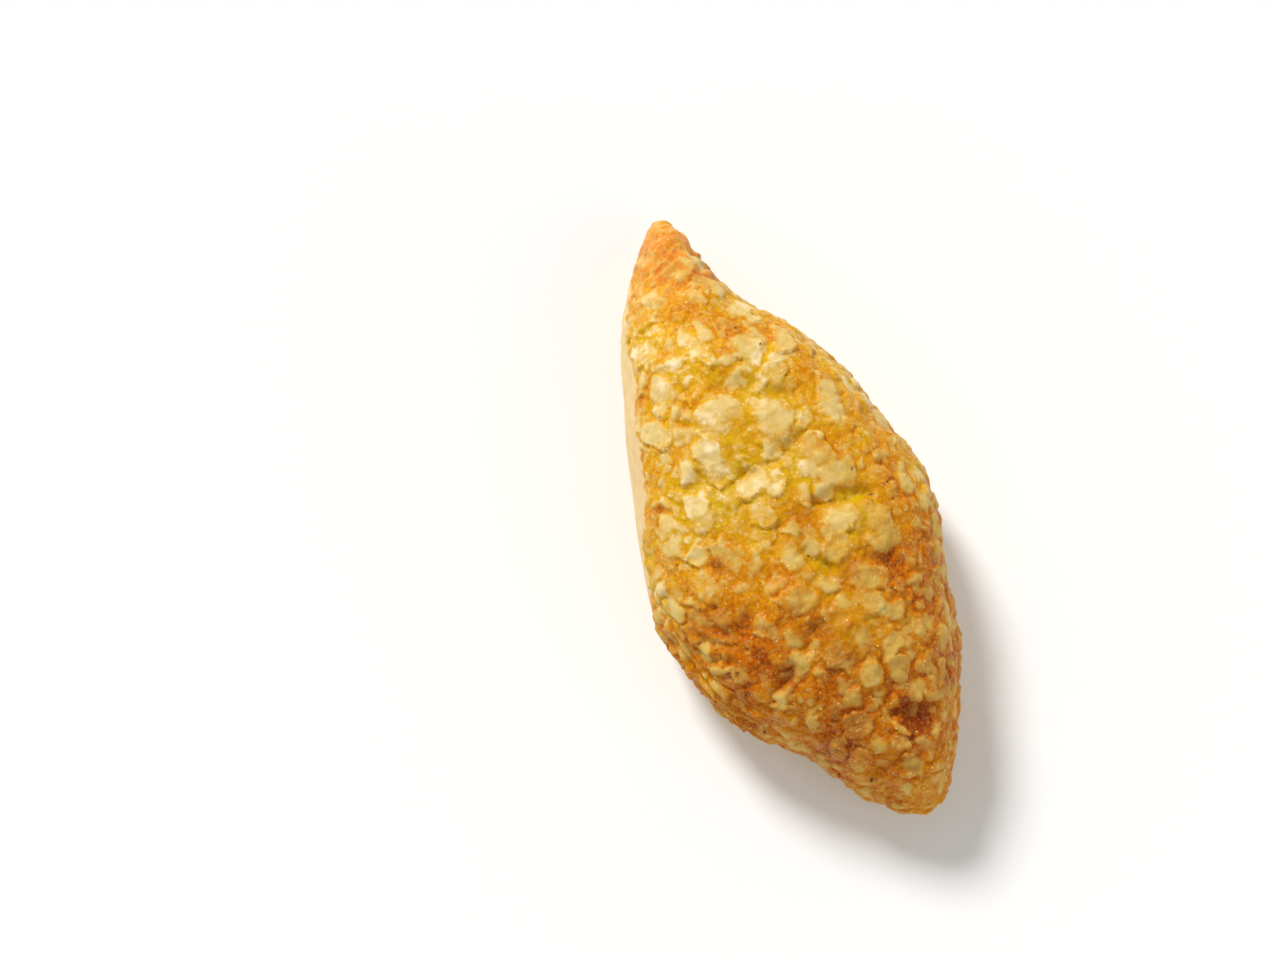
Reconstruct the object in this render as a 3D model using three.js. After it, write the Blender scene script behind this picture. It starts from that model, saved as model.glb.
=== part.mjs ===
// A diamond-shaped bread bun with a baked cheese crust, lying on its flat sole.
// Millimetres, +Z up. The long diagonal runs along X, the blunt tip at +X and the narrow tip at -X.
// The origin is the middle of the sole. Dough and cheese baked into one piece, so the bun is one solid.
import * as THREE from "three";
import { mergeVertices } from "three/addons/utils/BufferGeometryUtils.js";

// Overall size of the bun.
const LENGTH = 155; // tip to tip
const WIDTH = 73; // across the two obtuse corners
const HEIGHT = 43; // sole to crown

// The walls, where the cut sides of the dough swelled. Heights are above the sole, insets are from the widest line.
const SOLE_TUCK = 6.5; // inset of the sole's edge at the obtuse corners
const UNDERCUT_HEIGHT = 5.4; // height at which the wall has turned up from the sole
const UNDERCUT_INSET = 2; // inset of the wall there
const BULGE_HEIGHT = 15; // height of the widest line
const SHOULDER_HEIGHT = 27; // height at which the wall rolls over into the crown
const SHOULDER_INSET = 2.6; // inset of the shoulder

// The crown, a long pillow that thins towards both tips.
const CROWN_EDGE_INSET = 5.7; // inset that the crown's edge leans towards as it climbs from the shoulder
const CROWN_FULLNESS = 0.62; // share of the climb above the shoulder that is nearly upright
const CROWN_LEVEL_REACH = 20.5; // half the width over which the crown is close to level
const RIDGE_POWER = 0.75; // under 1 the crown draws in less along the bun than across it, which leaves a ridge
const BLUNT_TIP_HEIGHT = 27; // height that the crown would keep at the blunt tip
const NARROW_TIP_HEIGHT = 25; // and at the narrow tip
const TIP_FALL_POWER = 2.6; // above 2 the crown stays level for longer and then falls faster

// Fineness of the mesh.
const STEPS_AROUND = 108;
const WALL_STEPS = 12;
const CROWN_STEPS = 14;

// Crust colour and gloss.
const CRUST = { color: 0xdfa443, roughness: 0.5, metalness: 0 };

// The plan, anticlockwise from above, as shares of half the length and half the width. A strip of dough was cut on
// the slant, so the two obtuse corners lie a little off the middle and the tips are unlike.
const PLAN_SHARES = [
  [1.0, 0.08],
  [0.95, 0.29],
  [0.68, 0.64],
  [0.36, 0.87],
  [0.07, 1.0],
  [-0.1, 0.91],
  [-0.3, 0.82],
  [-0.49, 0.66],
  [-0.62, 0.46],
  [-0.75, 0.34],
  [-0.9, 0.28],
  [-0.98, 0.22],
  [-1.0, 0.13],
  [-0.96, -0.01],
  [-0.81, -0.3],
  [-0.52, -0.58],
  [-0.05, -0.91],
  [0.17, -1.0],
  [0.46, -0.85],
  [0.64, -0.62],
  [0.74, -0.42],
  [0.86, -0.26],
  [0.95, -0.08],
];

/** The plan outline as evenly spaced points, brought to exactly the bun's length and width and centred. */
function planOutline() {
  const corners = PLAN_SHARES.map(([x, y]) => new THREE.Vector3(x, y, 0));
  const outline = new THREE.CatmullRomCurve3(corners, true, "centripetal");
  const points = outline.getSpacedPoints(STEPS_AROUND);
  const box = new THREE.Box3().setFromPoints(points);
  const middle = box.getCenter(new THREE.Vector3());
  const size = box.getSize(new THREE.Vector3());
  const scale = new THREE.Vector3(LENGTH / size.x, WIDTH / size.y, 1);
  return points.map((point) => point.sub(middle).multiply(scale));
}

/** A point of the section: x is the share of the plan's reach that an inset leaves, y is the height. */
function sectionPoint(inset, height) {
  return new THREE.Vector2(1 - inset / (WIDTH / 2), height);
}

/** The section from the middle of the sole, out and up round the wall, and in over the crown. */
function sectionProfile() {
  const shoulder = sectionPoint(SHOULDER_INSET, SHOULDER_HEIGHT);
  const wall = new THREE.SplineCurve([
    sectionPoint(SOLE_TUCK, 0),
    sectionPoint(UNDERCUT_INSET, UNDERCUT_HEIGHT),
    sectionPoint(0, BULGE_HEIGHT),
    shoulder,
  ]);
  const climb = (HEIGHT - SHOULDER_HEIGHT) * CROWN_FULLNESS;
  const crown = new THREE.CubicBezierCurve(
    shoulder,
    sectionPoint(CROWN_EDGE_INSET, SHOULDER_HEIGHT + climb),
    new THREE.Vector2(CROWN_LEVEL_REACH / (WIDTH / 2), HEIGHT),
    new THREE.Vector2(0, HEIGHT),
  );
  const middleOfSole = new THREE.Vector2(0, 0);
  return [middleOfSole, ...wall.getSpacedPoints(WALL_STEPS), ...crown.getSpacedPoints(CROWN_STEPS).slice(1)];
}

/** How much of its height the bun keeps at a place along its length: all of it in the middle, least at the tips. */
function heightKept(x) {
  const tipHeight = x > 0 ? BLUNT_TIP_HEIGHT : NARROW_TIP_HEIGHT;
  const towardsTip = Math.min(1, Math.abs(x) / (LENGTH / 2));
  return 1 - (1 - tipHeight / HEIGHT) * towardsTip ** TIP_FALL_POWER;
}

/** The section turned once round the upright axis, its reach following the plan and its height the tips' fall. */
function bunGeometry() {
  const outline = planOutline();
  const profile = sectionProfile();
  const turned = new THREE.LatheGeometry(profile, STEPS_AROUND);
  const position = turned.getAttribute("position");
  for (let step = 0; step <= STEPS_AROUND; step += 1) {
    const reach = outline[step % STEPS_AROUND];
    profile.forEach((point, row) => {
      const x = reach.x * point.x ** RIDGE_POWER;
      const y = reach.y * point.x;
      position.setXYZ(step * profile.length + row, x, y, point.y * heightKept(x));
    });
  }
  turned.deleteAttribute("normal");
  turned.deleteAttribute("uv");
  const closed = mergeVertices(turned);
  closed.computeVertexNormals();
  return closed;
}

/** The whole bun as one mesh. */
function cheeseBun() {
  const bun = new THREE.Mesh(bunGeometry(), new THREE.MeshStandardMaterial(CRUST));
  bun.name = "cheese_bun";
  return bun;
}

const part = new THREE.Group();
part.add(cheeseBun());

export default part;
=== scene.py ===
"""A diamond-shaped cheese bun in one piece: risen dough, a flat sole and a blistered cheese crust."""
import logging
import math
from dataclasses import dataclass
from enum import Enum

import bpy
import numpy as np
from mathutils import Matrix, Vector


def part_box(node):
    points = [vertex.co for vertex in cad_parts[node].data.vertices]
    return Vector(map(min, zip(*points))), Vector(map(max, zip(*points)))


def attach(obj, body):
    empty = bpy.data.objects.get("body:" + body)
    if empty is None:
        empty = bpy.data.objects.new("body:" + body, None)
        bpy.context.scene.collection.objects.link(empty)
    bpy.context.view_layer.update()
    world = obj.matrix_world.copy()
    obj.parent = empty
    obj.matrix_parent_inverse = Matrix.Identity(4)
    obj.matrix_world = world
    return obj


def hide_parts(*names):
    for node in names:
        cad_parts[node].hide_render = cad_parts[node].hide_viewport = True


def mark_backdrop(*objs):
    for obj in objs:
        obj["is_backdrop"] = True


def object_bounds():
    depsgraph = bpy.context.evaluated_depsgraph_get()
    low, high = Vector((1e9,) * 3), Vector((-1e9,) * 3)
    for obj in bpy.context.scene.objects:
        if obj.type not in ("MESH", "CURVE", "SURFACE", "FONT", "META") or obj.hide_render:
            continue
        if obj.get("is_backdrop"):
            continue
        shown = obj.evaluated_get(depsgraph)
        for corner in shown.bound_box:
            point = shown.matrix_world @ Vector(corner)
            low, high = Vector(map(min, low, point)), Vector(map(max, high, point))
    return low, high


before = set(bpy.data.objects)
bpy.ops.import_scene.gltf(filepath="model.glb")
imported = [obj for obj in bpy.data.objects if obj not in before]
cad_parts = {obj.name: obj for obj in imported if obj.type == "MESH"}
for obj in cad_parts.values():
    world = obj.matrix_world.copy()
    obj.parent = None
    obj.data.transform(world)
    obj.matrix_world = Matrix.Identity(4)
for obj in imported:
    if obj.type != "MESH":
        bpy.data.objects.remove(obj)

CAD_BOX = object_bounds()
MM = 0.001
SQUARENESS = 2.6  # of a flake's outline: 2 is an oval, and more comes nearer to a rectangle
LOG = logging.getLogger("cheese_bun")


def linear(hex_colour: str) -> tuple[float, float, float, float]:
    """Turns an sRGB hex colour into the linear colour that a shader takes.

    Args:
        hex_colour: The colour as six hex digits.

    Returns:
        Red, green, blue and an alpha of one.
    """
    shares = [int(hex_colour[i : i + 2], 16) / 255 for i in (0, 2, 4)]
    return (*(c / 12.92 if c <= 0.04045 else ((c + 0.055) / 1.055) ** 2.4 for c in shares), 1.0)


def step(low: float, high: float, value: np.ndarray) -> np.ndarray:
    """Eases from nought at one value to one at another.

    Args:
        low: The value that gives nought.
        high: The value that gives one; it may be the smaller of the two.
        value: The values to ease.

    Returns:
        A share from nought to one for each value.
    """
    share = np.clip((value - low) / (high - low), 0.0, 1.0)
    return share * share * (3 - 2 * share)


def add_node(
    tree: bpy.types.NodeTree,
    kind: str,
    inputs: dict | None = None,
    out: int | str = 0,
    stops: tuple[tuple[float, str], ...] = (),
    **settings,
) -> bpy.types.NodeSocket:
    """Adds one node to a material, with its settings, its inputs and the stops of its ramp.

    Args:
        tree: The material's node tree.
        kind: The node's type, without the "ShaderNode" that every type starts with.
        inputs: A value, or the output that feeds it, for each input by its name or number.
        out: The name or number of the output that is wanted.
        stops: The places and the sRGB hex colours of a ramp.
        settings: The node's own properties.

    Returns:
        The wanted output of the new node.
    """
    node = tree.nodes.new(f"ShaderNode{kind}")
    for name, value in settings.items():
        setattr(node, name, value)
    if stops:
        elements = node.color_ramp.elements
        while len(elements) < len(stops):
            elements.new(0.5)
        for element, (place, colour) in zip(elements, stops):
            element.position = place
            element.color = linear(colour)
    for key, value in (inputs or {}).items():
        if isinstance(value, bpy.types.NodeSocket):
            tree.links.new(value, node.inputs[key])
        else:
            node.inputs[key].default_value = value
    return node.outputs[out]


@dataclass
class Cells:
    """What each point knows of the lump it lies in: its middle, its border and its random lots."""

    nearest: np.ndarray
    second: np.ndarray
    offset: np.ndarray
    lot: np.ndarray
    other_lot: np.ndarray


@dataclass(frozen=True)
class Grain:
    """Seeded noise on points in millimetres, the same on every run."""

    seed: int

    def _lots(self, cell: np.ndarray, salt: int) -> np.ndarray:
        """Draws a fixed 32-bit number for each lattice cell.

        Args:
            cell: Whole-number cell coordinates, the last axis being x, y and z.
            salt: Tells apart several numbers drawn for the same cell.

        Returns:
            One unsigned number per cell.
        """
        c = cell.astype(np.int64).astype(np.uint32)
        mixed = c[..., 0] * np.uint32(0x8DA6B343) ^ c[..., 1] * np.uint32(0xD8163841)
        start = (self.seed * 0x9E3779B1 + salt * 0x85EBCA6B) & 0xFFFFFFFF
        mixed ^= c[..., 2] * np.uint32(0xCB1AB31F) ^ np.uint32(start)
        mixed ^= mixed >> np.uint32(16)
        mixed *= np.uint32(0x7FEB352D)
        mixed ^= mixed >> np.uint32(15)
        mixed *= np.uint32(0x846CA68B)
        return mixed ^ (mixed >> np.uint32(16))

    def chance(self, cell: np.ndarray, salt: int) -> np.ndarray:
        """Draws a share from nought to one for each lattice cell.

        Args:
            cell: Whole-number cell coordinates.
            salt: Tells apart several draws for the same cell.

        Returns:
            One share per cell.
        """
        return self._lots(cell, salt) / 4294967296.0

    def soft(self, points: np.ndarray, size: float, salt: int = 0) -> np.ndarray:
        """Gives smooth noise with bumps about as wide as a size.

        Args:
            points: Points in millimetres.
            size: Width of the bumps in millimetres.
            salt: Tells apart several fields of the same size.

        Returns:
            About minus one to one for each point.
        """
        at = points / size
        cell = np.floor(at)
        inside = at - cell
        ease = inside**3 * (inside * (inside * 6 - 15) + 10)
        total = np.zeros(len(points))
        for corner in np.ndindex(2, 2, 2):
            lots = self._lots(cell + corner, salt)
            away = inside - corner
            pulls = [((lots >> np.uint32(10 * k)) & np.uint32(1023)) / 511.5 - 1 for k in range(3)]
            dot = sum(away[:, k] * pulls[k] for k in range(3))
            weight = np.prod(np.where(corner, ease, 1 - ease), axis=1)
            total += weight * dot
        return total * 1.5

    def layered(
        self, points: np.ndarray, size: float, layers: int = 3, salt: int = 0
    ) -> np.ndarray:
        """Adds ever finer and fainter layers of smooth noise.

        Args:
            points: Points in millimetres.
            size: Width of the coarsest bumps in millimetres.
            layers: How many layers, each half as wide as the one before.
            salt: Tells apart several fields.

        Returns:
            About minus one to one for each point.
        """
        shares = [0.55**k for k in range(layers)]
        total = sum(self.soft(points, size / 2**k, salt + 31 * k) * shares[k] for k in range(layers))
        return total / sum(shares) * 1.4

    def warped(self, points: np.ndarray, size: float, reach: float, salt: int) -> np.ndarray:
        """Pushes points about, so that borders drawn on them run unevenly.

        Args:
            points: Points in millimetres.
            size: Width of the pushes in millimetres.
            reach: How far the points are pushed in millimetres.
            salt: Tells apart several fields.

        Returns:
            The pushed points.
        """
        push = [self.layered(points, size, 2, salt + 7 * axis) for axis in range(3)]
        return points + reach * np.stack(push, axis=1)

    def cells(self, points: np.ndarray, size: float, salt: int, loose: float = 0.85) -> Cells:
        """Parts space into lumps about as wide as a size.

        Args:
            points: Points in millimetres.
            size: Width of the lumps in millimetres.
            salt: Tells apart several fields.
            loose: How far the lumps' middles stray from a lattice, from nought to one.

        Returns:
            The lump facts for each point, with distances in lump widths.
        """
        at = points / size
        home = np.floor(at)
        nearest = np.full(len(at), 9.0)
        second = np.full(len(at), 9.0)
        offset = np.zeros_like(at)
        lot = np.zeros(len(at))
        other = np.zeros(len(at))
        for shift in np.ndindex(3, 3, 3):
            cell = home + np.array(shift) - 1
            stray = np.stack([self.chance(cell, salt + k) - 0.5 for k in range(3)], axis=1)
            middle = cell + 0.5 + loose * stray
            away = at - middle
            distance = np.sqrt((away**2).sum(axis=1))
            closer = distance < nearest
            second = np.where(closer, nearest, np.minimum(second, distance))
            nearest = np.where(closer, distance, nearest)
            offset = np.where(closer[:, None], away, offset)
            lot = np.where(closer, self.chance(cell, salt + 3), lot)
            other = np.where(closer, self.chance(cell, salt + 4), other)
        return Cells(nearest, second, offset * size, lot, other)


@dataclass
class Net:
    """The edges of a mesh, to spread values from each point to its neighbours."""

    edges: np.ndarray
    count: int

    def blurred(self, values: np.ndarray, rounds: int) -> np.ndarray:
        """Averages values with their neighbours' again and again.

        Args:
            values: One value per point.
            rounds: How often to average; more rounds reach further.

        Returns:
            The blurred values.
        """
        first, second = self.edges[:, 0], self.edges[:, 1]
        shares = 1.0 + np.bincount(self.edges.ravel(), minlength=self.count)
        for _ in range(rounds):
            gained = np.bincount(first, values[second], self.count)
            gained += np.bincount(second, values[first], self.count)
            values = (values + gained) / shares
        return values


@dataclass(frozen=True)
class Flake:
    """One large shred of cheese, melted flat. Millimetres, turn in degrees."""

    x: float
    y: float
    length: float
    breadth: float
    turn: float = 0.0
    rise: float = 0.8

    def spread(self, points: np.ndarray) -> np.ndarray:
        """Measures how far out of the flake each point lies.

        Args:
            points: Points in millimetres, already warped.

        Returns:
            Nought at the middle and one at the rim.
        """
        turn = math.radians(self.turn)
        dx, dy = points[:, 0] - self.x, points[:, 1] - self.y
        along = dx * math.cos(turn) + dy * math.sin(turn)
        across = dy * math.cos(turn) - dx * math.sin(turn)
        along, across = np.abs(along / (self.length / 2)), np.abs(across / (self.breadth / 2))
        return (along**SQUARENESS + across**SQUARENESS) ** (1 / SQUARENESS)


@dataclass(frozen=True)
class Patch:
    """A soft round area of the crust where something is stronger. Millimetres."""

    x: float
    y: float
    radius: float
    strength: float

    def weight(self, points: np.ndarray) -> np.ndarray:
        """Gives the patch's strength at each point.

        Args:
            points: Points in millimetres.

        Returns:
            The strength, fading to nought away from the middle.
        """
        away = ((points[:, 0] - self.x) ** 2 + (points[:, 1] - self.y) ** 2) / self.radius**2
        return self.strength * np.exp(-away)


@dataclass(frozen=True)
class Valley:
    """A trough in the crust from one place to another. Millimetres."""

    x: float
    y: float
    to_x: float
    to_y: float
    breadth: float
    depth: float

    def fall(self, points: np.ndarray) -> np.ndarray:
        """Tells how deep the trough is at each point.

        Args:
            points: Points in millimetres, already warped.

        Returns:
            The depth in millimetres, nought away from the trough.
        """
        run = np.array([self.to_x - self.x, self.to_y - self.y])
        away = points[:, :2] - np.array([self.x, self.y])
        along = np.clip(away @ run / (run @ run), 0, 1)
        beside = np.hypot(*(away - along[:, None] * run).T)
        return self.depth * np.exp(-((beside / self.breadth) ** 2))


class Mark(Enum):
    """The shares that the crust's finish reads from the mesh, point by point."""

    CREAM = "cream"
    # Browning, with some painted shade in the hollows and on one slope.
    TOAST_AND_SHADE = "toast_and_shade"
    OLIVE = "olive"
    DOUGH = "dough"
    SOLE = "sole"
    SPECK = "speck"
    # Rosy orange at the narrow tip: partly its own tint, partly painted light.
    BLUSH_AND_PAINTED_LIGHT = "blush_and_painted_light"


# The largest flakes on the crown, roughly from its middle outwards.
FLAKES = (
    Flake(-22.0, -4.5, 9.0, 11.5, 8, 0.8),
    Flake(-14.5, -10.8, 12.0, 6.0, 4, 0.75),
    Flake(-9.5, -9.8, 6.5, 7.5, 0, 0.7),
    Flake(-16.0, 6.2, 11.0, 9.0, -12, 0.85),
    Flake(-10.2, 2.6, 6.0, 4.5, -20, 0.7),
    Flake(-5.0, 12.3, 9.0, 7.5, 20, 0.8),
    Flake(1.5, 14.2, 8.0, 8.5, 12, 0.85),
    Flake(3.8, 10.2, 5.5, 2.6, 55, 0.55),
    Flake(-4.2, -4.2, 6.5, 10.0, 15, 0.75),
    Flake(-1.2, -0.4, 4.6, 4.6, 0, 0.6),
    Flake(2.8, -6.2, 8.5, 6.5, 10, 0.7),
    Flake(-5.0, -18.2, 6.5, 5.0, 0, 0.65),
    Flake(-0.4, -18.6, 5.0, 6.2, 20, 0.65),
    Flake(7.0, -17.4, 5.8, 5.4, 0, 0.7),
    Flake(5.0, -22.6, 6.0, 5.0, 0, 0.6),
    Flake(12.4, -24.0, 9.5, 7.5, 15, 0.8),
    Flake(11.6, 10.0, 7.5, 9.5, 5, 0.8),
    Flake(13.2, 6.2, 5.0, 4.2, 0, 0.6),
    Flake(14.6, 17.6, 9.5, 6.2, 5, 0.85),
    Flake(19.6, 17.4, 5.2, 8.0, 0, 0.7),
    Flake(17.2, 6.6, 7.0, 8.0, 30, 0.7),
    Flake(14.6, -3.4, 6.4, 6.0, 20, 0.6),
    Flake(26.0, 10.4, 6.2, 9.0, -15, 0.7),
    Flake(31.4, 8.4, 6.5, 5.2, 30, 0.65),
    Flake(34.8, 11.8, 5.0, 7.0, -20, 0.6),
    Flake(24.6, -6.0, 7.6, 7.0, 25, 0.6),
    Flake(26.2, -15.4, 6.0, 5.2, 0, 0.55),
    Flake(37.0, -12.0, 5.2, 6.0, 0, 0.75),
    Flake(38.2, -3.6, 5.4, 6.4, 30, 0.6),
    Flake(46.0, 1.4, 7.0, 6.0, 20, 0.7),
    Flake(48.2, -5.4, 5.0, 7.0, 10, 0.65),
    Flake(54.6, -5.4, 5.6, 5.8, 0, 0.65),
    Flake(47.0, 8.4, 5.2, 4.6, 0, 0.55),
    Flake(41.0, 11.0, 7.2, 5.2, 25, 0.6),
    Flake(53.0, 10.2, 5.0, 4.6, 0, 0.6),
    Flake(51.0, 15.4, 7.5, 3.4, 20, 0.6),
    Flake(41.0, 16.4, 7.0, 3.2, 15, 0.6),
    Flake(61.6, 1.6, 5.2, 4.2, 30, 0.55),
    Flake(68.0, -6.0, 6.5, 3.6, -25, 0.5),
    Flake(70.0, 3.0, 7.0, 4.0, 30, 0.5),
    Flake(-34.2, 8.0, 7.4, 7.4, 0, 0.75),
    Flake(-37.0, -1.8, 10.0, 4.2, 14, 0.6),
    Flake(-27.2, 2.2, 5.0, 4.6, 0, 0.55),
    Flake(-33.4, -13.8, 8.0, 6.0, 0, 0.65),
    Flake(-26.0, 11.0, 6.4, 7.0, 0, 0.7),
    Flake(-15.0, 20.6, 14.0, 5.5, -8, 0.7),
    Flake(-13.5, 13.8, 6.4, 5.0, 0, 0.6),
    Flake(-33.0, 17.0, 7.2, 5.0, -25, 0.6),
    Flake(-45.0, 11.2, 6.0, 6.0, 0, 0.6),
    Flake(-52.0, 2.4, 8.0, 3.0, 35, 0.55),
    Flake(-59.0, 3.2, 3.6, 6.5, 0, 0.5),
    Flake(-55.0, -6.0, 6.0, 5.0, 0, 0.5),
    Flake(-44.0, -13.0, 7.0, 5.0, 30, 0.55),
    Flake(-24.0, -19.0, 8.0, 5.0, 20, 0.55),
    Flake(58.5, 2.8, 6.4, 1.7, 42, 0.9),
    Flake(30.6, -27.0, 5.5, 1.1, 70, 0.7),
    Flake(32.6, -25.4, 4.5, 1.0, 20, 0.7),
)

# Where the crust is browner: mostly browning from the oven, with one patch of painted shade on the
# crown's slope away from the light.
TOASTED_AND_SHADED = (
    Patch(-70, 2, 9, 0.22),
    Patch(-56, 7, 3.6, 0.5),
    Patch(-50, -5, 6, 0.25),
    Patch(-39, 4.5, 6, 0.22),
    Patch(-28, -8.5, 5, 0.3),
    Patch(8.5, 4, 5, 0.32),
    Patch(7, -26.5, 7, 0.12),
    Patch(25, -21, 7, 0.12),
    Patch(25, -30, 8, 0.08),
    Patch(24, 16.5, 4.5, 0.3),
    Patch(31, -4, 4, 0.35),
    Patch(25, 4, 3.5, 0.3),
    Patch(38.5, -15.4, 2.8, 0.55),
    Patch(32, -19, 5, 0.35),
    Patch(54, -14, 8, 0.2),
    Patch(66.5, -2, 4.6, 0.2),
    Patch(57.6, 8, 3.6, 0.8),
    Patch(53, 17, 3, 0.45),
    Patch(48, -4, 28, 0.14),
    Patch(30, 27, 12, 0.15),
    Patch(-9, -25.5, 1.3, 0.6),
    Patch(9, -19.6, 1.4, 0.7),
    # Painted shade, not browning: the crown's slope that turns away from the light.
    Patch(2, 22, 12, 0.12),
    Patch(30, 6, 16, 0.08),
)

# Where it stayed paler.
CREAMY = (
    Patch(-42, -6, 17, 0.24),
    Patch(-24, -16, 16, 0.06),
    Patch(-6, 2, 18, 0.1),
    Patch(-2, -14, 10, 0.06),
    Patch(73, 0, 8, 0.18),
    Patch(8, -29, 9, 0.1),
)

# Where thick, moist cheese looks yellow-green.
GREENISH = (
    Patch(-8, 0, 22, 0.35),
    Patch(-5, -13, 8, 0.7),
    Patch(-24, 8, 7, 0.6),
    Patch(8, 15, 6, 0.8),
    Patch(-8, 6, 6, 0.5),
    Patch(19, 2, 5, 0.8),
    Patch(34, 2, 8, 0.5),
    Patch(14, 13, 6, 0.5),
)

# The deepest troughs between the lumps.
VALLEYS = (
    Valley(6.2, 7.0, 8.6, 19.5, 1.9, 1.7),
    Valley(15.6, -0.5, 20.5, 2.6, 1.8, 1.3),
    Valley(-10.0, -16.0, -6.6, -5.0, 2.6, 1.1),
    Valley(-6.6, -5.0, -8.8, 8.5, 2.2, 0.9),
    Valley(-27.0, -1.0, -20.5, 12.5, 2.6, 1.1),
    Valley(39.6, -18.0, 37.8, -14.0, 1.8, 1.5),
    Valley(35.6, -8.4, 31.0, -3.4, 1.8, 1.0),
    Valley(56.2, 5.0, 58.4, 10.0, 2.0, 1.7),
    Valley(-58.0, -1.0, -54.5, 8.0, 1.7, 1.1),
    Valley(21.0, 12.0, 24.6, 19.0, 1.9, 0.9),
    Valley(18.0, -10.0, 26.0, -22.0, 2.4, 0.8),
    Valley(-30.0, -10.0, -20.0, -14.0, 2.0, 0.8),
    Valley(44.0, 6.0, 52.0, 4.0, 1.8, 0.8),
    Valley(64.0, -6.0, 67.0, 3.0, 1.8, 0.9),
)

# Burnt specks, each by its x and y in millimetres.
SPECKS = (
    (6.3, 10.0),
    (1.7, 17.6),
    (8.8, 19.6),
    (10.3, 18.6),
    (11.5, 23.4),
    (2.5, 25.6),
    (16.0, -0.1),
    (22.0, 27.0),
    (-24.4, 13.4),
    (-33.5, 11.0),
    (-40.0, 8.0),
    (45.5, -23.5),
    (66.0, -6.5),
    (30.0, 14.0),
)


@dataclass(frozen=True)
class Shreds:
    """One size of melted shreds: width and rise in millimetres, and the share of places with one."""

    width: float
    share: float
    rise: float
    salt: int


COBBLES = Shreds(5.6, 0.75, 0.55, 441)
BLISTERS = Shreds(3.1, 0.85, 0.34, 461)
BEADS = Shreds(1.9, 0.8, 0.24, 481)
FRINGE = Shreds(5.4, 0.85, 0.6, 541)


@dataclass
class Scales:
    """Melted shreds: their height in millimetres, and how thickly their pale cheese covers."""

    top: np.ndarray
    cover: np.ndarray


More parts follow.
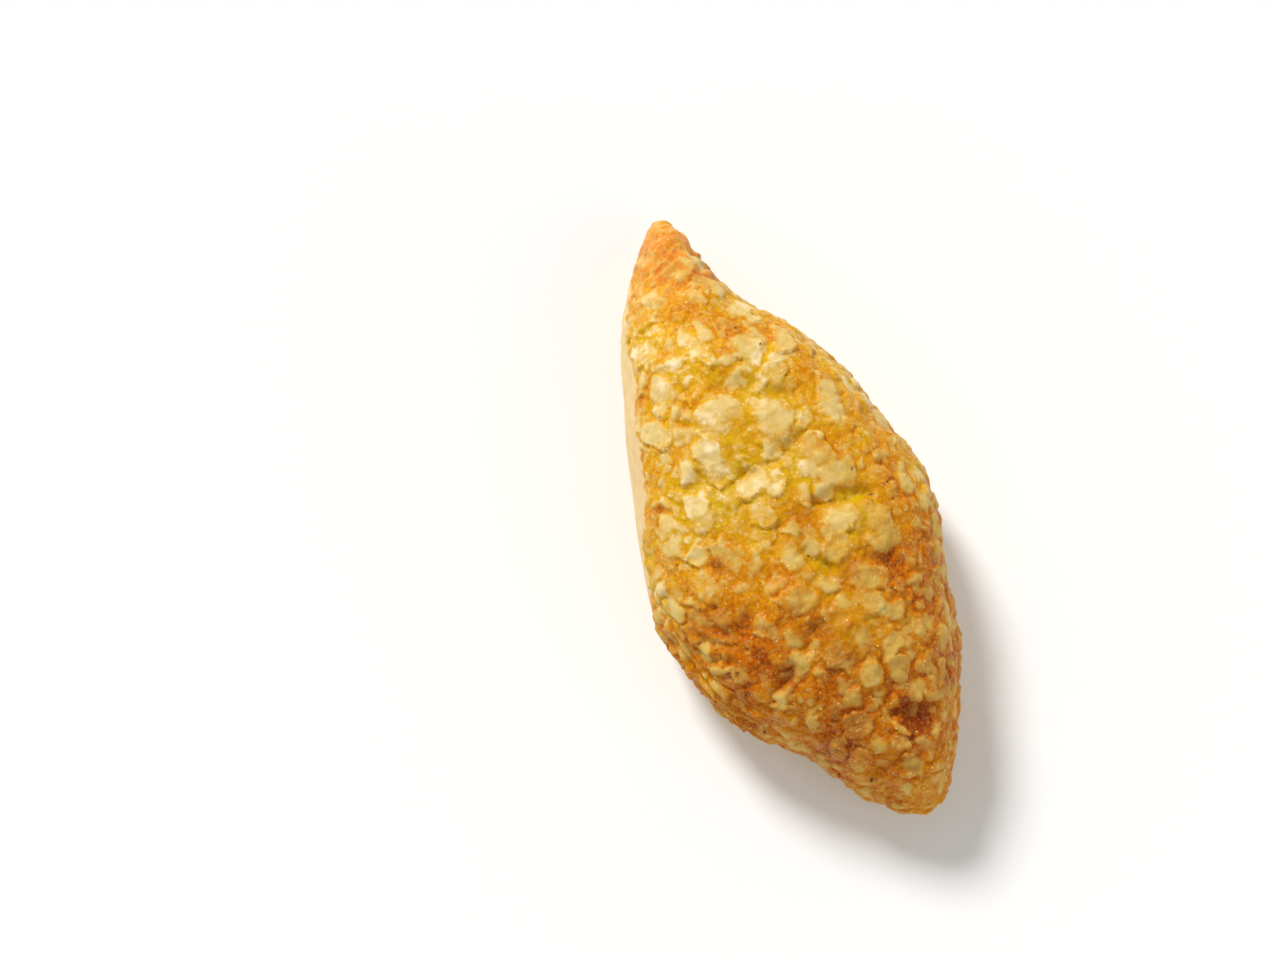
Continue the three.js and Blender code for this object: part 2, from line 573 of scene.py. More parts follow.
@dataclass
class CheeseCrust:
    """The skin's relief and marks: cheese above, bare dough on the walls, a flat sole below."""

    half_length: float
    half_width: float
    grain: Grain = Grain(11)
    edge_height: float = 14.0
    high_edge: float = 28.5
    flakes_above: float = 22.8
    specks_above: float = 17.1
    lip: float = 0.5
    sink: float = 0.85
    swell: float = 1.2
    swell_width: float = 24.0
    crease_gap: float = 5.2
    ripple_gap: float = 3.4
    hill_width: float = 10.0
    hill_rise: float = 0.65
    puff_width: float = 5.5
    puff_rise: float = 0.55
    valley_gain: float = 1.25
    blur_rounds: int = 14
    most_proud: float = 0.6

    def along(self, points: np.ndarray) -> np.ndarray:
        """Gives each point's place along the bun, from -1 at the narrow tip to 1 at the blunt one."""
        return points[:, 0] / self.half_length

    def across(self, points: np.ndarray) -> np.ndarray:
        """Gives each point's place across the bun, from -1 on the cut side to 1."""
        return points[:, 1] / self.half_width

    def crust_share(self, points: np.ndarray) -> np.ndarray:
        """Tells where the cheese reaches: the crown and some way down the walls.

        It reaches least far down on the cut side, near the narrow tip.

        Args:
            points: Points of the smooth bun in millimetres.

        Returns:
            One on the cheese, nought on bare dough and sole.
        """
        side = step(0.1, 0.45, -self.across(points)) * step(0.3, -0.15, self.along(points))
        thin = 1 - 0.45 * np.abs(self.along(points)) ** 2.6
        edge = (self.edge_height + (self.high_edge - self.edge_height) * side) * thin
        ragged = 2.4 * self.grain.layered(points, 9.0, 3, 101)
        ragged += 1.1 * self.grain.soft(points, 2.6, 131)
        return step(-0.55, 0.55, points[:, 2] - edge - ragged)

    def macro(self, points: np.ndarray) -> np.ndarray:
        """Gives the broad swells, the creases at the narrow tip and the ripples along one rim.

        Args:
            points: Points of the smooth bun in millimetres.

        Returns:
            Heights in millimetres.
        """
        along = self.along(points)
        swell = self.swell * self.grain.layered(points, self.swell_width, 2, 211)
        swell -= 1.1 * step(-0.7, -0.84, along) * step(-1.02, -0.92, along)
        phase = points[:, 0] / self.crease_gap + 0.9 * self.grain.soft(points, 9.0, 223)
        creased = step(-0.62, -0.76, along) * step(-0.97, -0.88, along)
        creases = 0.5 * creased * np.sin(2 * math.pi * phase)
        rim = step(-0.45, -0.8, self.across(points)) * step(0.1, 0.3, along)
        ripple = points[:, 2] / self.ripple_gap + 1.2 * self.grain.soft(points, 12.0, 227)
        return swell + creases + 0.45 * rim * np.sin(2 * math.pi * ripple)

    def scales(self, points: np.ndarray, shreds: Shreds) -> Scales:
        """Lays a field of melted shreds, each a small uneven dome.

        Args:
            points: Points in millimetres.
            shreds: The size of the shreds.

        Returns:
            The domes and how thickly their cheese covers the ground.
        """
        grain, width, salt = self.grain, shreds.width, shreds.salt
        warped = grain.warped(points, width * 1.1, width * 0.36, salt)
        warped = grain.warped(warped, width * 0.34, width * 0.08, salt + 21)
        lumps = grain.cells(warped, width, salt + 50)
        border = lumps.second - lumps.nearest
        softer = grain.chance(np.floor(warped / width * 2), salt + 33) * (lumps.other_lot > 0.3)
        inside = step(0.0, 1.0, border / (0.16 + 0.5 * softer)) * step(0.78, 0.42, lumps.nearest)
        turn = lumps.other_lot * 6.283
        lean = lumps.offset[:, 0] * np.cos(turn) + lumps.offset[:, 1] * np.sin(turn)
        dome = 1.0 - 0.7 * np.minimum(lumps.nearest, 0.9) ** 2
        rise = shreds.rise * (0.5 + 0.9 * lumps.lot / shreds.share)
        top = (rise * dome + 0.1 * lean) * inside
        held = lumps.lot < shreds.share
        pale = step(0.0, 1.0, border / 0.55) * (0.2 + 0.8 * lumps.other_lot)
        return Scales(np.where(held, top, 0.0), np.where(held, pale, 0.0))

    def flakes(self, points: np.ndarray) -> Scales:
        """Lays the listed large flakes, ragged, dented and some of them curled.

        Args:
            points: Points in millimetres.

        Returns:
            The flakes and how thickly their cheese covers the ground.
        """
        grain = self.grain
        warped = grain.warped(grain.warped(points, 5.5, 1.5, 311), 1.5, 0.45, 331)
        slope = 0.19 + 0.1 * grain.soft(points, 5.0, 351)
        dents = 0.24 * grain.layered(points, 2.2, 2, 361)
        clear = 1.0 - 0.75 * np.clip(grain.layered(points, 3.6, 3, 371), -0.1, 0.8)
        top = np.zeros(len(points))
        cover = np.zeros(len(points))
        for number, flake in enumerate(FLAKES):
            spread = flake.spread(warped)
            east, north = points[:, 0] - flake.x, points[:, 1] - flake.y
            downhill = east * math.cos(number) + north * math.sin(number)
            lopsided = np.clip(downhill * 2 / flake.breadth, -1, 1)
            soft = np.maximum(slope + 0.11 * lopsided, 0.08)
            inside = step(1.0 + soft, 1.0 - soft, spread)
            curl = 0.24 * (number % 3) * step(0.5, 0.95, spread)
            dome = 1.0 - 0.4 * np.minimum(spread, 1.2) ** 2 + curl
            top = np.maximum(top, (flake.rise * dome - 0.06 * downhill + dents) * inside)
            pale = step(1.0 + soft, 0.5, spread) * (0.76 + 0.24 * math.sin(number * 2.4))
            cover = np.maximum(cover, pale)
        above = points[:, 2] > self.flakes_above
        return Scales(top * above, cover * clear * above)

    def ground(self, points: np.ndarray) -> np.ndarray:
        """Gives the lumpy golden ground that the shreds melted onto, with its troughs.

        Args:
            points: Points in millimetres.

        Returns:
            Heights in millimetres.
        """
        grain = self.grain
        lumps = self.hill_rise * grain.layered(points, self.hill_width, 2, 425)
        puffs = self.puff_rise * (np.abs(grain.layered(points, self.puff_width, 2, 427)) - 0.3)
        warped = grain.warped(points, 6.0, 1.6, 433)
        return lumps + puffs - self.valley_gain * sum(valley.fall(warped) for valley in VALLEYS)

    def tip_share(self, points: np.ndarray) -> np.ndarray:
        """Tells how near the narrow tip each point is, from nought to one."""
        return step(-0.66, -0.86, self.along(points))

    def cheese(self, points: np.ndarray) -> Scales:
        """Lays all the shreds together: flakes, cobbles, blisters, beads and a fringe on the rim.

        Args:
            points: Points in millimetres.

        Returns:
            The shreds and how thickly their cheese covers the ground.
        """
        flakes = self.flakes(points)
        cobbles, blisters, beads, fringe = (
            self.scales(points, shreds) for shreds in (COBBLES, BLISTERS, BEADS, FRINGE)
        )
        rim = step(0.6, 0.8, np.hypot(self.along(points), self.across(points)))
        rim *= 0.8 + 0.2 * step(-0.2, 0.3, self.across(points))
        bare = step(-0.2, -0.8, self.grain.layered(points, 13.0, 2, 431))
        bare *= step(-0.45, -0.25, self.along(points)) * (1 - rim)
        large = np.maximum(flakes.top, cobbles.top * (1 - 0.7 * bare))
        large = np.maximum(large, fringe.top * rim)
        small = np.maximum(blisters.top * (1 - 0.5 * bare), beads.top)
        top = np.maximum(1.15 * large + 0.12 * small, small)
        cover = np.maximum(flakes.cover, cobbles.cover * (1 - 0.75 * bare))
        cover = np.maximum(cover, np.minimum(1.4 * fringe.cover * rim, 1))
        cover *= 1 - 0.3 * self.tip_share(points)
        cover = np.maximum(cover, blisters.cover * (0.75 - 0.5 * bare))
        cover = np.maximum(cover, beads.cover * (0.5 - 0.3 * bare))
        return Scales(top * (1 - 0.4 * self.tip_share(points)), cover)

    def relief(self, points: np.ndarray, cheese: Scales) -> np.ndarray:
        """Adds up the ground, the cheese on it and the fine grit of the bare ground.

        Args:
            points: Points in millimetres.
            cheese: The shreds at the points.

        Returns:
            Heights above the cheese's own level in millimetres.
        """
        grit = 0.12 * self.grain.layered(points, 1.4, 2, 491)
        ground = self.ground(points) * (1 - 0.4 * self.tip_share(points))
        return ground + cheese.top + grit * (1 - 0.8 * cheese.cover)

    def height(self, points: np.ndarray, crust: np.ndarray, relief: np.ndarray) -> np.ndarray:
        """Joins the crust's relief and the dough's soft dimples into one skin.

        Args:
            points: Points of the smooth bun in millimetres.
            crust: Where the cheese reaches.
            relief: The cheese's relief in millimetres.

        Returns:
            How far each point moves outwards in millimetres.
        """
        wall = 0.2 * self.grain.layered(points, 8.0, 3, 501)
        wall += 0.05 * self.grain.soft(points, 1.6, 521)
        height = self.macro(points) * (0.35 + 0.65 * crust)
        return height + crust * (self.lip + relief) + (1 - crust) * wall - self.sink

    def cream(self, points: np.ndarray, cover: np.ndarray, proud: np.ndarray) -> np.ndarray:
        """Tells how pale the cheese is: thick shreds and high places are palest.

        Args:
            points: Points in millimetres.
            cover: How thickly pale cheese covers the ground.
            proud: How far each point stands above its surroundings in millimetres.

        Returns:
            A share from nought to one.
        """
        mottle = 0.12 * self.grain.layered(points, 3.0, 3, 471)
        return np.clip(cover + 0.35 * proud + mottle - 0.1, 0, 1)

    def toast_and_shade(self, points: np.ndarray, proud: np.ndarray) -> np.ndarray:
        """Tells how brown the crust is: more in low places and towards the blunt tip. The darkening in
        low places is partly painted shade in the hollows, and one patch is painted shade on a slope away
        from the light.

        Args:
            points: Points in millimetres.
            proud: How far each point stands above its surroundings in millimetres.

        Returns:
            A share from nought to one.
        """
        toast_and_shade = 0.3 + 0.15 * step(-0.1, 0.55, self.along(points))
        # Low places darken: partly browning, partly painted shade in the hollows.
        toast_and_shade += 0.35 * self.grain.layered(points, 11.0, 3, 601) - 0.22 * proud
        toast_and_shade += sum(patch.weight(points) for patch in TOASTED_AND_SHADED)
        return np.clip(toast_and_shade - sum(patch.weight(points) for patch in CREAMY), 0, 1)

    def olive(self, points: np.ndarray, cover: np.ndarray, proud: np.ndarray) -> np.ndarray:
        """Tells where the moist ground between the shreds turned yellow-green.

        Args:
            points: Points in millimetres.
            cover: How thickly pale cheese covers the ground.
            proud: How far each point stands above its surroundings in millimetres.

        Returns:
            A share from nought to one.
        """
        green = sum(patch.weight(points) for patch in GREENISH)
        return np.clip(green * (1 - 0.6 * cover) * step(0.5, -0.1, proud), 0, 1)

    def blush_and_painted_light(self, points: np.ndarray) -> np.ndarray:
        """Tells where the narrow tip turns a light rosy orange, from nought to one: partly the thin
        cheese's own tint, partly painted light.
        """
        blush_and_painted_light = step(-0.62, -0.9, self.along(points) + 0.05 * self.grain.soft(points, 5.0, 611))
        return np.clip(blush_and_painted_light * (0.8 + 0.7 * self.grain.layered(points, 5.0, 3, 621)), 0, 1)

    def lay(self, points: np.ndarray, net: Net) -> tuple[np.ndarray, dict[Mark, np.ndarray]]:
        """Works out how far each point of the smooth bun moves out, and what covers it.

        Args:
            points: Points of the smooth bun in millimetres.
            net: The edges between the points.

        Returns:
            Heights in millimetres, and the share of each mark.
        """
        crust = self.crust_share(points)
        cheese = self.cheese(points)
        relief = self.relief(points, cheese)
        proud = relief - net.blurred(relief, self.blur_rounds)
        proud = np.clip(proud, -self.most_proud, self.most_proud)
        on_sole = step(1.2, 0.25, points[:, 2])
        marks = {
            Mark.CREAM: self.cream(points, cheese.cover, proud),
            Mark.TOAST_AND_SHADE: self.toast_and_shade(points, proud),
            Mark.OLIVE: self.olive(points, cheese.cover, proud),
            Mark.DOUGH: 1 - crust,
            Mark.SOLE: on_sole,
            Mark.SPECK: self.specks(points) * crust,
            Mark.BLUSH_AND_PAINTED_LIGHT: self.blush_and_painted_light(points) * crust,
        }
        return self.height(points, crust, relief) * (1 - on_sole), marks

    def specks(self, points: np.ndarray) -> np.ndarray:
        """Strews the few tiny burnt specks on the crust.

        Args:
            points: Points in millimetres.

        Returns:
            One on a speck, nought elsewhere.
        """
        nearest = np.full(len(points), 9.0)
        for x, y in SPECKS:
            nearest = np.minimum(nearest, np.hypot(points[:, 0] - x, points[:, 1] - y))
        return step(0.42, 0.16, nearest) * (points[:, 2] > self.specks_above)


@dataclass
class BakedBun:
    """The bun itself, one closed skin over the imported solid's shape."""

    node: str = "cheese_bun"
    voxel: float = 0.92 * MM
    weld: float = 0.02 * MM
    smoothings: int = 12
    least_cover: float = 0.02
    sole_band: float = 0.25
    piece: bpy.types.Object | None = None
    crust: CheeseCrust | None = None

    def start_from_solid(self) -> None:
        """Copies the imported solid, welds its corners and makes an even, smooth net of squares."""
        bpy.ops.object.select_all(action="DESELECT")
        low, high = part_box(self.node)
        half = (high - low) / 2 / MM
        self.crust = CheeseCrust(half.x, half.y)
        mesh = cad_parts[self.node].data.copy()
        self.piece = bpy.data.objects.new("baked_bun", mesh)
        bpy.context.scene.collection.objects.link(self.piece)
        bpy.context.view_layer.objects.active = self.piece
        self.piece.select_set(True)
        bpy.ops.object.mode_set(mode="EDIT")
        bpy.ops.mesh.select_all(action="SELECT")
        bpy.ops.mesh.remove_doubles(threshold=self.weld)
        bpy.ops.object.mode_set(mode="OBJECT")
        remesh = self.piece.modifiers.new("even_net", "REMESH")
        remesh.mode = "VOXEL"
        remesh.voxel_size = self.voxel
        bpy.ops.object.modifier_apply(modifier=remesh.name)
        smooth = self.piece.modifiers.new("round_off", "SMOOTH")
        smooth.iterations = self.smoothings
        bpy.ops.object.modifier_apply(modifier=smooth.name)

    def refine_crown(self) -> None:
        """Halves the net's squares wherever cheese lies, so that its scales and grit can be shaped."""
        bpy.ops.object.mode_set(mode="EDIT")
        bpy.ops.mesh.select_all(action="DESELECT")
        bpy.ops.mesh.select_mode(type="FACE")
        bpy.ops.object.mode_set(mode="OBJECT")
        polygons = self.piece.data.polygons
        centres = np.empty(len(polygons) * 3, np.float32)
        polygons.foreach_get("center", centres)
        covered = self.crust.crust_share(centres.reshape(-1, 3).astype(float) / MM)
        polygons.foreach_set("select", covered > self.least_cover)
        bpy.ops.object.mode_set(mode="EDIT")
        bpy.ops.mesh.subdivide(number_cuts=1, smoothness=0.0)
        bpy.ops.mesh.select_all(action="SELECT")
        bpy.ops.mesh.quads_convert_to_tris(quad_method="SHORTEST_DIAGONAL")
        bpy.ops.mesh.normals_make_consistent(inside=False)
        bpy.ops.object.mode_set(mode="OBJECT")

    def lay_crust(self) -> None:
        """Raises the crust's relief out of the smooth skin and writes what covers each point."""
        mesh = self.piece.data
        count = len(mesh.vertices)
        places = np.empty(count * 3, np.float32)
        mesh.vertices.foreach_get("co", places)
        normals = np.empty(count * 3, np.float32)
        mesh.vertex_normals.foreach_get("vector", normals)
        points = places.reshape(-1, 3).astype(float) / MM
        ends = np.empty(len(mesh.edges) * 2, np.int32)
        mesh.edges.foreach_get("vertices", ends)
        height, marks = self.crust.lay(points, Net(ends.reshape(-1, 2), count))
        moved = points + normals.reshape(-1, 3) * height[:, None]
        lifted = np.maximum(moved[:, 2], 0.0)
        moved[:, 2] = np.where(points[:, 2] < self.sole_band, 0.0, lifted)
        mesh.vertices.foreach_set("co", (moved * MM).astype(np.float32).ravel())
        for mark, share in marks.items():
            layer = mesh.attributes.new(mark.value, "FLOAT", "POINT")
            layer.data.foreach_set("value", share.astype(np.float32))
        mesh.update()
        bpy.ops.object.shade_smooth()

    def build(self) -> bpy.types.Object:
        """Makes the bun's finished mesh.

        Returns:
            The bun.
        """
        self.start_from_solid()
        self.refine_crown()
        self.lay_crust()
        return self.piece


@dataclass(frozen=True)
class Patterns:
    """What the steps of the crust's finish share: its node tree, marks and patterns."""

    tree: bpy.types.NodeTree
    marks: dict[Mark, bpy.types.NodeSocket]
    bead: bpy.types.NodeSocket
    bead_lot: bpy.types.NodeSocket
    crumb: bpy.types.NodeSocket
    crumb_lot: bpy.types.NodeSocket
    grit: bpy.types.NodeSocket
    mottle: bpy.types.NodeSocket


@dataclass(frozen=True)
class BakedCheeseFinish:
    """Cheese baked onto bread dough: melted, browned by the oven's heat, and dusted pale on the walls.

    To the eye it is a soft, slightly see-through fat that glows golden where it is thin, with a low
    gloss and tiny glints painted into its colour as pale dots, under matt cream shreds that kept their
    own shape. The dough is dull and even.
    Real grains of grated cheese are about 0.3 mm, too fine to show, so beads and grit are drawn coarser.
    Colours run from least to most toasted, and widths are in millimetres.
    """

    name: str = "baked_cheese_and_bread_crust"
    toasting: tuple[float, ...] = (0.12, 0.42, 0.72, 1.0)
    ground: tuple[str, ...] = ("D8A60A", "D28602", "C06400", "8E3802")
    palest: str = "F0D8AA"
    scale: tuple[str, ...] = ("DEC482", "D2AE54", "C89440", "AE6E2A")
    olive: str = "CAA20C"
    wall: tuple[tuple[float, str], ...] = ((0.3, "EACD96"), (0.75, "DDB97C"))
    sole: tuple[tuple[float, str], ...] = ((0.35, "C48E48"), (0.7, "92581E"))
    speck: str = "3C220C"
    # The narrow tip's light rosy orange: partly its own tint, partly painted light where the tip catches
    # the light.
    blush_and_painted_light: str = "EC9440"
    # Painted highlights: the pale colour of the glints, laid into the base colour.
    painted_glint: str = "FAE2A0"
    bead_width: float = 0.78
    crumb_width: float = 2.1
    grit_width: float = 0.9
    mottle_width: float = 3.5
    bump_height: float = 0.16
    glow_depth: float = 1.2

    def patterns(self, tree: bpy.types.NodeTree) -> Patterns:
        """Lays the patterns that the colours and the bumps are made of.

        Args:
            tree: The material's node tree.

        Returns:
            The marks and patterns.
        """
        place = add_node(tree, "TexCoord", out="Object")
        marks = {m: add_node(tree, "Attribute", out="Fac", attribute_name=m.value) for m in Mark}
        bead, crumb = (
            add_node(tree, "TexVoronoi", {"Vector": place, "Scale": 1 / (width * MM)}, "Distance")
            for width in (self.bead_width, self.crumb_width)
        )
        bead_lot = add_node(tree, "SeparateColor", {0: bead.node.outputs["Color"]}, "Red")
        crumb_lot = add_node(tree, "SeparateColor", {0: crumb.node.outputs["Color"]}, "Green")
        grit, mottle = (
            add_node(
                tree,
                "TexNoise",
                {"Vector": place, "Scale": 1 / (width * MM), "Detail": detail, "Roughness": 0.6},
                "Fac",
            )
            for width, detail in ((self.grit_width, 2.0), (self.mottle_width, 5.0))
        )
        return Patterns(tree, marks, bead, bead_lot, crumb, crumb_lot, grit, mottle)

    def dots(
        self,
        on: Patterns,
        distance: bpy.types.NodeSocket,
        lot: bpy.types.NodeSocket,
        picked: tuple[float, float],
        rim: tuple[float, float],
    ) -> bpy.types.NodeSocket:
        """Draws a soft dot in the middle of some of a pattern's lumps.

        Args:
            on: The marks and patterns.
            distance: How far each place is from the middle of its lump.
            lot: The random lot of the lump.
            picked: The lots at which a dot starts to show and shows fully.
            rim: The distances at which a dot starts to fade and is gone.

        Returns:
            One in a dot's middle and nought outside.
        """
        shown = add_node(on.tree, "MapRange", {0: lot, 1: picked[0], 2: picked[1]})
        return add_node(on.tree, "MapRange", {0: distance, 1: rim[0], 2: rim[1], 3: shown, 4: 0.0})

    def cream(self, on: Patterns) -> bpy.types.NodeSocket:
        """Gives the shreds ragged edges, and strews paler beads and crumbs about.

        Args:
            on: The marks and patterns.

        Returns:
            How much the pale cheese hides the ground, from nought to one.
        """
        bead = self.dots(on, on.bead, on.bead_lot, (0.45, 0.75), (0.22, 0.5))
        crumb = self.dots(on, on.crumb, on.crumb_lot, (0.5, 0.9), (0.2, 0.38))
        dotted = add_node(
            on.tree, "Math", {0: bead, 1: 0.32, 2: on.marks[Mark.CREAM]}, operation="MULTIPLY_ADD"
        )
        dotted = add_node(
            on.tree, "Math", {0: crumb, 1: 0.34, 2: dotted}, operation="MULTIPLY_ADD", use_clamp=True
        )
        ragged = add_node(on.tree, "Math", {0: on.grit, 1: 0.8, 2: dotted}, operation="MULTIPLY_ADD")
        return add_node(
            on.tree, "MapRange", {0: ragged, 1: 0.38, 2: 1.32}, interpolation_type="SMOOTHSTEP"
        )

    def painted_glints(self, on: Patterns) -> bpy.types.NodeSocket:
        """Paints tiny glints of fat into the colour as pale dots, painted highlights, most of them where
        the cheese is moist.

        Args:
            on: The marks and patterns.

        Returns:
            How strong the painted glint is at each place, from nought to one.
        """
        painted_glint_dot = self.dots(on, on.bead, on.bead_lot, (0.94, 0.96), (0.12, 0.26))
        moist = add_node(on.tree, "MapRange", {0: on.mottle, 1: 0.5, 2: 0.62})
        shine = add_node(on.tree, "MapRange", {0: on.grit, 1: 0.56, 2: 0.7, 4: moist})
        return add_node(
            on.tree, "Math", {0: shine, 1: 0.35, 2: painted_glint_dot}, operation="MULTIPLY_ADD", use_clamp=True
        )

    def toasted_ground(self, on: Patterns) -> bpy.types.NodeSocket:
        """Colours the golden ground: grainy toast with some painted shade, greenish moist places, and a
        rosy narrow tip that is partly painted light.

        Args:
            on: The marks and patterns.

        Returns:
            The ground's colour.
        """
        toast_and_shade = on.marks[Mark.TOAST_AND_SHADE]
        for pattern, gain, shift, last in (
            (on.grit, 0.6, -0.3, False),
            (on.bead, 0.35, -0.16, False),
            (on.mottle, 0.5, -0.25, True),
        ):
            part = add_node(on.tree, "Math", {0: pattern, 1: gain, 2: shift}, operation="MULTIPLY_ADD")
            toast_and_shade = add_node(on.tree, "Math", {0: toast_and_shade, 1: part}, operation="ADD", use_clamp=last)
        golden = add_node(on.tree, "ValToRGB", {0: toast_and_shade}, stops=tuple(zip(self.toasting, self.ground)))
        # Partly painted light: the narrow tip lifted to a lighter rosy orange.
        rosy_and_painted_light = add_node(
            on.tree, "Math", {0: on.marks[Mark.BLUSH_AND_PAINTED_LIGHT], 1: on.mottle}, operation="MULTIPLY"
        )
        colour = golden
        for share, tint in ((on.marks[Mark.OLIVE], self.olive), (rosy_and_painted_light, self.blush_and_painted_light)):
            colour = self.blended(on, share, colour, linear(tint))
        return colour

    def toasted_scales(self, on: Patterns) -> bpy.types.NodeSocket:
        """Colours the shreds, which browned more evenly than the ground.

        Args:
            on: The marks and patterns.

        Returns:
            The shreds' colour.
        """
        uneven = add_node(on.tree, "Math", {0: on.mottle, 1: 0.5, 2: -0.25}, operation="MULTIPLY_ADD")
        toast_and_shade = add_node(
            on.tree, "Math", {0: on.marks[Mark.TOAST_AND_SHADE], 1: uneven}, operation="ADD", use_clamp=True
        )
        toast_and_shade = add_node(on.tree, "Math", {0: toast_and_shade, 1: 0.9}, operation="MULTIPLY")
        stops = ((0.0, self.palest), *zip(self.toasting, self.scale))
        return add_node(on.tree, "ValToRGB", {0: toast_and_shade}, stops=stops)

    def blended(
        self,
        on: Patterns,
        share: bpy.types.NodeSocket,
        under: bpy.types.NodeSocket,
        over: bpy.types.NodeSocket | tuple[float, float, float, float],
    ) -> bpy.types.NodeSocket:
        """Lays one colour over another.

        Args:
            on: The marks and patterns.
            share: How much of the upper colour shows.
            under: The lower colour.
            over: The upper colour.

        Returns:
            The blended colour.
        """
        return add_node(on.tree, "Mix", {0: share, 6: under, 7: over}, 2, data_type="RGBA")

    def colour(self, on: Patterns) -> bpy.types.NodeSocket:
        """Lays the crust's colours over each other: cheese, painted glints, dough, sole and burnt
        specks.

        Args:
            on: The marks and patterns.

        Returns:
            The colour of the whole bun.
        """
        layers = (
            (self.cream(on), self.toasted_scales(on)),
            # Painted highlights: pale glint dots laid over the colour.
            (self.painted_glints(on), linear(self.painted_glint)),
            (on.marks[Mark.DOUGH], add_node(on.tree, "ValToRGB", {0: on.mottle}, stops=self.wall)),
            (on.marks[Mark.SOLE], add_node(on.tree, "ValToRGB", {0: on.mottle}, stops=self.sole)),
            (on.marks[Mark.SPECK], linear(self.speck)),
        )
        colour = self.toasted_ground(on)
        for share, over in layers:
            colour = self.blended(on, share, colour, over)
        return colour

    def roughness(self, on: Patterns) -> bpy.types.NodeSocket:
        """Makes moist ground the glossiest, shreds duller and dough the dullest.

        Args:
            on: The marks and patterns.

        Returns:
            The roughness, from nought to one.
        """
        cheese = add_node(
            on.tree, "Math", {0: on.marks[Mark.CREAM], 1: 0.1, 2: 0.36}, operation="MULTIPLY_ADD"
        )
        return add_node(
            on.tree, "Math", {0: on.marks[Mark.DOUGH], 1: 0.2, 2: cheese}, operation="MULTIPLY_ADD"
        )

    def bumps(self, on: Patterns) -> bpy.types.NodeSocket:
        """Roughens the ground with beads and grit, the shreds less, and the dough not at all.

        Args:
            on: The marks and patterns.

        Returns:
            The bent normal.
        """
        rough = add_node(on.tree, "Math", {0: on.bead, 1: -0.9, 2: on.grit}, operation="MULTIPLY_ADD")
        share = add_node(
            on.tree, "Math", {0: on.marks[Mark.CREAM], 1: -0.65, 2: 1.0}, operation="MULTIPLY_ADD"
        )
        share = add_node(
            on.tree, "Math", {0: share, 1: on.marks[Mark.DOUGH]}, operation="SUBTRACT", use_clamp=True
        )
        height = add_node(on.tree, "Math", {0: rough, 1: share}, operation="MULTIPLY")
        depth = self.bump_height * MM
        return add_node(on.tree, "Bump", {"Height": height, "Strength": 0.6, "Distance": depth})

    def make(self) -> bpy.types.Material:
        """Builds the material.

        Returns:
            The material.
        """
        material = bpy.data.materials.new(self.name)
        material.use_nodes = True
        tree = material.node_tree
        shader = tree.nodes["Principled BSDF"]
        on = self.patterns(tree)
        tree.links.new(self.colour(on), shader.inputs["Base Color"])
        tree.links.new(self.roughness(on), shader.inputs["Roughness"])
        tree.links.new(self.bumps(on), shader.inputs["Normal"])
        # Baked fat bends light like oil, but the crust's fine grain breaks up most of its gloss.
        shader.inputs["IOR"].default_value = 1.4
        shader.inputs["Specular IOR Level"].default_value = 0.13
        # Red light goes deepest into cheese and bread, so thin edges glow warm.
        shader.inputs["Subsurface Weight"].default_value = 0.35
        shader.inputs["Subsurface Radius"].default_value = (1.0, 0.75, 0.4)
        shader.inputs["Subsurface Scale"].default_value = self.glow_depth * MM
        return material


@dataclass(frozen=True)
class TableTop:
    """A plain pale table top, much larger than the bun."""

    side: float = 6.0
    colour: str = "F4F4F4"

    def build(self) -> bpy.types.Object:
        """Makes the table top and marks it as no part of the bun.

        Returns:
            Nothing; the table top is marked as backdrop but not handed back.
        """
        bpy.ops.object.select_all(action="DESELECT")
        bpy.ops.mesh.primitive_plane_add(size=self.side, location=(0, 0, 0))
        top = bpy.context.object
        top.name = "table_top"
        material = bpy.data.materials.new("matt_white_table")
        material.use_nodes = True
        shader = material.node_tree.nodes["Principled BSDF"]
        shader.inputs["Base Color"].default_value = linear(self.colour)
        shader.inputs["Roughness"].default_value = 0.9
        shader.inputs["Specular IOR Level"].default_value = 0.1
        top.data.materials.append(material)
        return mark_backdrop(top)


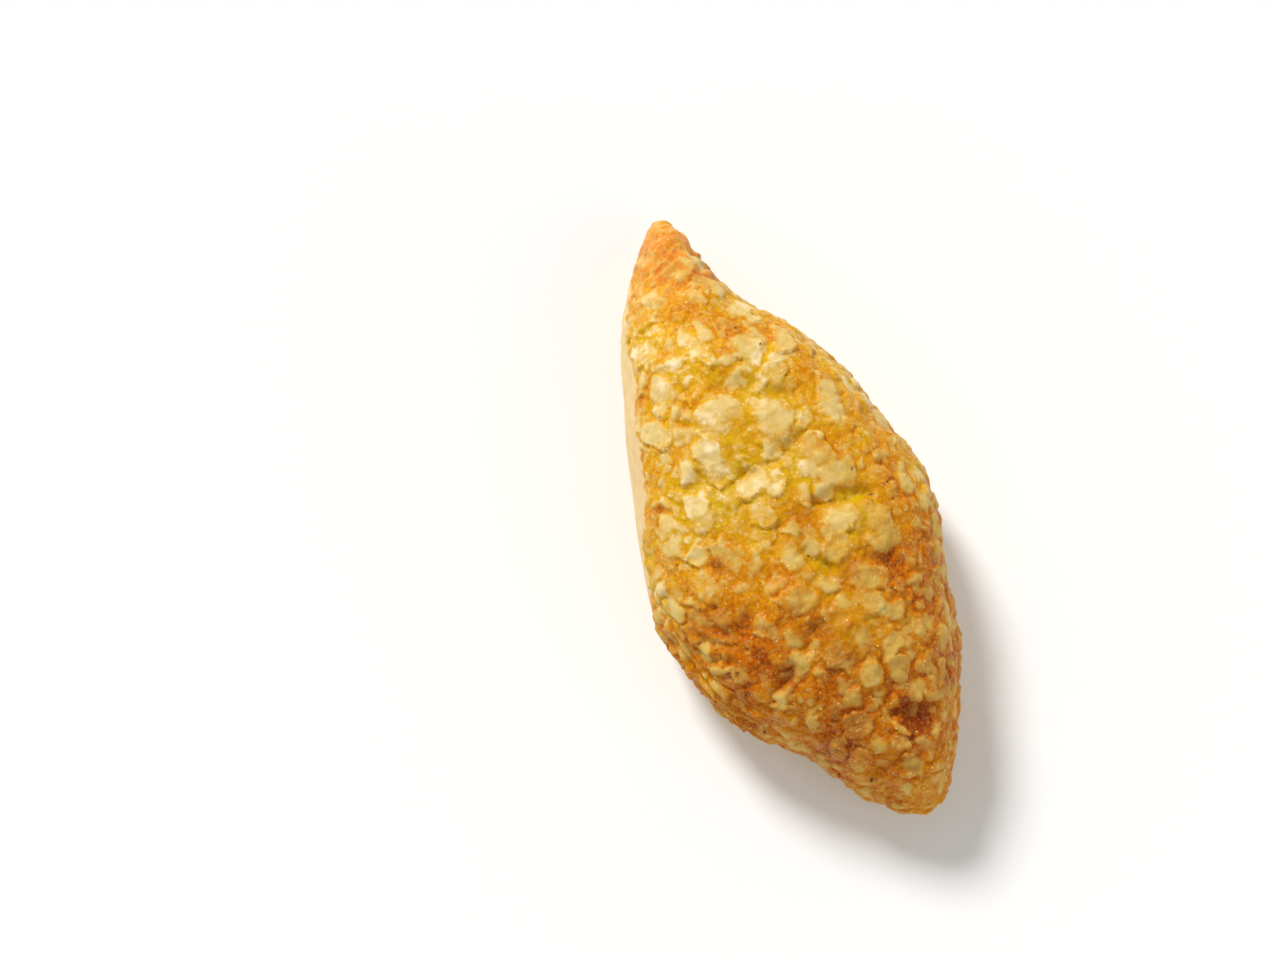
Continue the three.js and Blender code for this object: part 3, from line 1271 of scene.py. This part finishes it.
@dataclass(frozen=True)
class Studio:
    """Soft daylight from behind on the left, a bright room, and a camera looking steeply down."""

    azimuth: float = 65.5
    elevation: float = 78.0
    lens: float = 90.0
    view_width: float = 296.0 * MM
    aside: tuple[float, float] = (-31.5 * MM, 6.95 * MM)
    key_strength: float = 2.85
    key_spread: float = 16.0
    fill_strength: float = 0.45
    fill_spread: float = 60.0
    room: float = 0.46
    room_colour: str = "FFFCF8"

    def axes(self) -> tuple[Vector, Vector, Vector]:
        """Works out the camera's directions.

        Returns:
            The unit vectors to its right, up its picture and back from what it looks at.
        """
        turn, rise = math.radians(self.azimuth), math.radians(self.elevation)
        level = Vector((math.sin(turn), -math.cos(turn), 0))
        back = level * math.cos(rise) + Vector((0, 0, math.sin(rise)))
        right = Vector((math.cos(turn), math.sin(turn), 0))
        return right, back.cross(right), back

    def place_camera(self, middle: Vector) -> None:
        """Sets the camera up so that the bun lies right of and below the picture's middle.

        Args:
            middle: The middle of the bun.
        """
        right, up, back = self.axes()
        camera = bpy.data.cameras.new("camera")
        camera.lens = self.lens
        camera.clip_start = 0.01
        distance = self.view_width * self.lens / camera.sensor_width
        holder = bpy.data.objects.new("camera", camera)
        bpy.context.scene.collection.objects.link(holder)
        holder.location = middle + right * self.aside[0] + up * self.aside[1] + back * distance
        holder.rotation_euler = back.to_track_quat("Z", "Y").to_euler()
        bpy.context.scene.camera = holder

    def hang(self, name: str, towards: Vector, strength: float, spread: float) -> None:
        """Hangs one soft light far away.

        Args:
            name: What the light stands for.
            towards: The direction from the bun to the light.
            strength: How strong the light is.
            spread: How wide the light looks from the bun, in degrees.
        """
        light = bpy.data.lights.new(name, "SUN")
        light.angle = math.radians(spread)
        light.energy = strength
        lamp = bpy.data.objects.new(name, light)
        bpy.context.scene.collection.objects.link(lamp)
        lamp.rotation_euler = towards.to_track_quat("Z", "Y").to_euler()

    def light(self) -> None:
        """Hangs the window's light and the faint one off a white wall, and fills the room with white."""
        right, _, back = self.axes()
        ahead = Vector((-back.x, -back.y, 0)).normalized()
        window = ahead * 0.76 - right * 0.5 + Vector((0, 0, 0.8))
        self.hang("window", window, self.key_strength, self.key_spread)
        wall = right * 0.8 - ahead * 0.6 + Vector((0, 0, 0.6))
        self.hang("white_wall", wall, self.fill_strength, self.fill_spread)
        world = bpy.data.worlds.new("white_room")
        world.use_nodes = True
        background = world.node_tree.nodes["Background"]
        background.inputs["Color"].default_value = linear(self.room_colour)
        background.inputs["Strength"].default_value = self.room
        bpy.context.scene.world = world
        bpy.context.scene.view_settings.view_transform = "Standard"

    def build(self) -> None:
        """Sets up camera and light round the bun."""
        low, high = CAD_BOX
        self.place_camera((Vector(low) + Vector(high)) / 2)
        self.light()


def main() -> None:
    """Builds the bun, its finish and the studio, in that order."""
    logging.basicConfig(level=logging.INFO, format="%(name)s: %(message)s")
    bun = BakedBun().build()
    bun.data.materials.clear()
    bun.data.materials.append(BakedCheeseFinish().make())
    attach(bun, "root")
    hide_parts("cheese_bun")
    LOG.info("bun: %d points, %d faces", len(bun.data.vertices), len(bun.data.polygons))
    TableTop().build()
    LOG.info("table top laid")
    Studio().build()
    LOG.info("camera and light set")


if __name__ == "__main__":
    main()
